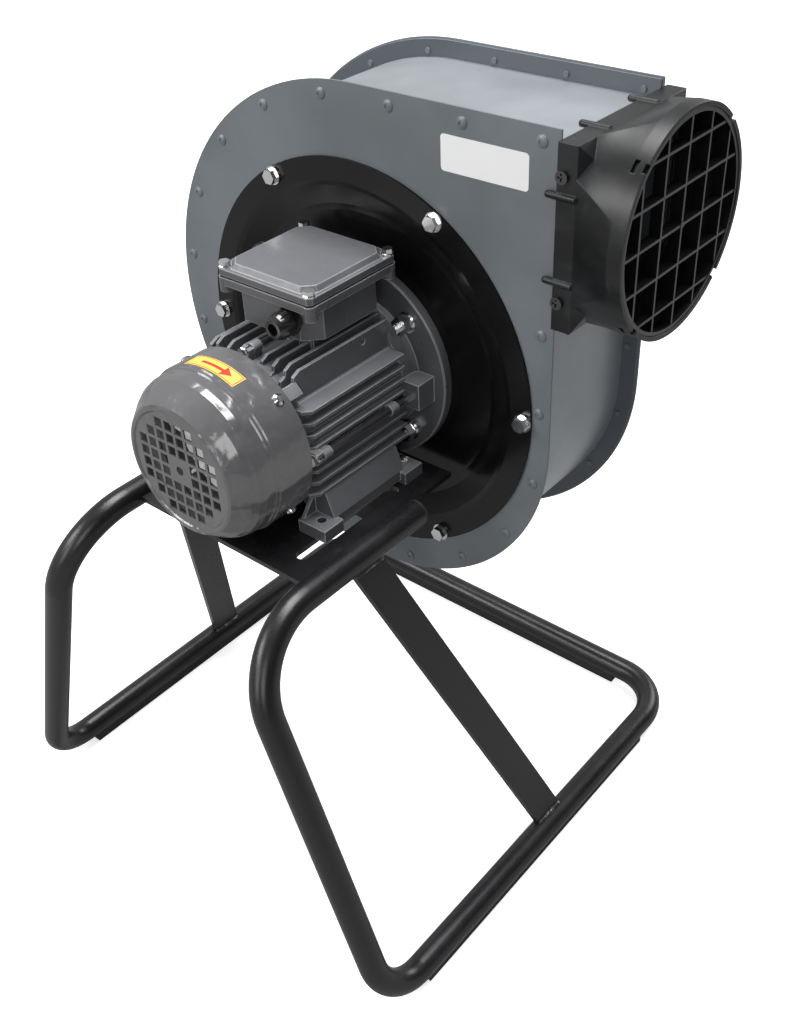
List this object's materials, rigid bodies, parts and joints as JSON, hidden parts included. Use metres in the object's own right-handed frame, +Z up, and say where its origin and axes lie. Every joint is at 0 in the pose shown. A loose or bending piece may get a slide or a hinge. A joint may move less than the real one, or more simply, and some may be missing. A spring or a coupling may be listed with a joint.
{
  "type": "exhaust fan",
  "caption": "Centrifugal exhaust fan: scroll housing with square-to-round outlet, flange-mounted finned electric motor and bent-tube floor stand.",
  "frame": {"origin": "middle of the floor area under the fan, at the level the floor strips stand on", "axes": "+Z up, +X out of the round outlet spigot, +Y out of the inlet spigot, so the motor lies on the -Y side"},
  "size_m": [0.4404, 0.434, 0.611],
  "materials": {
    "stand_paint": "satin",
    "housing_paint": "satin",
    "cover_paint": "satin",
    "motor_paint": "satin",
    "cowl_paint": "gloss",
    "adapter_plastic": "matt",
    "zinc": "bright",
    "sheet_steel": "satin",
    "bright_steel": "machined",
    "copper": "enamelled",
    "rotor_metal": "cast",
    "rubber": "matt",
    "fan_plastic": "matt",
    "gland_plastic": "matt",
    "label_film": "satin",
    "sticker_film": "gloss"
  },
  "bodies": {
    "stand_and_housing": {"stand_hoop_right": "stand_paint", "stand_hoop_left": "stand_paint", "stand_rear_tube": "stand_paint", "tube_end_plugs": "rubber", "brace_right": "stand_paint", "brace_left": "stand_paint", "motor_plate": "stand_paint", "side_floor_strips": "rubber", "rear_floor_strip": "rubber", "front_side_plate": "housing_paint", "rear_side_plate": "housing_paint", "scroll_wrap": "housing_paint", "cutoff_tongue": "housing_paint", "housing_rivets": "zinc", "motor_cover": "cover_paint", "cover_bolts": "zinc", "cover_weld_nuts": "zinc", "inlet_ring": "housing_paint", "inlet_nozzle": "sheet_steel", "inlet_screws": "zinc", "outlet_collar": "housing_paint", "outlet_adapter": "adapter_plastic", "adapter_screws": "zinc", "outlet_grille": "adapter_plastic", "rating_label": "label_film", "motor_frame": "motor_paint", "motor_feet": "motor_paint", "foot_bolts": "zinc", "foot_nuts": "zinc", "drive_endshield": "motor_paint", "fan_endshield": "motor_paint", "tie_bolts": "zinc", "stator_core": "sheet_steel", "stator_windings": "copper", "bearing_outer_rings": "bright_steel", "fan_cowl": "cowl_paint", "cowl_screws": "zinc", "direction_sticker": "sticker_film", "terminal_box_base": "motor_paint", "terminal_box_gasket": "rubber", "terminal_box_lid": "motor_paint", "lid_screws": "zinc", "terminal_board": "fan_plastic", "gland_bodies": "gland_plastic", "gland_nuts": "gland_plastic", "flange_studs": "zinc", "flange_nuts": "zinc", "flange_washers": "zinc"},
    "rotor": {"motor_shaft": "bright_steel", "shaft_key": "bright_steel", "rotor_core": "rotor_metal", "bearing_inner_rings": "bright_steel", "cooling_fan": "fan_plastic", "impeller_hub": "bright_steel", "impeller_back_plate": "sheet_steel", "impeller_blades": "sheet_steel", "impeller_shroud": "sheet_steel", "impeller_rivets": "zinc", "impeller_screw": "zinc"},
    "ball_sets": {"bearing_ball_sets": "bright_steel"}
  },
  "joints": [
    {"name": "rotor_spin", "type": "hinge", "parent": "stand_and_housing", "child": "rotor", "pos_m": [-0.00675, 0.0295, 0.3925], "axis": [0, 1, 0], "continuous": true},
    {"name": "ball_set_spin", "type": "hinge", "parent": "stand_and_housing", "child": "ball_sets", "pos_m": [-0.00675, 0.0295, 0.3925], "axis": [0, 1, 0], "continuous": true}
  ],
  "couplings": [
    {"joint": "ball_set_spin", "follows": "rotor_spin", "ratio": 0.396}
  ]
}
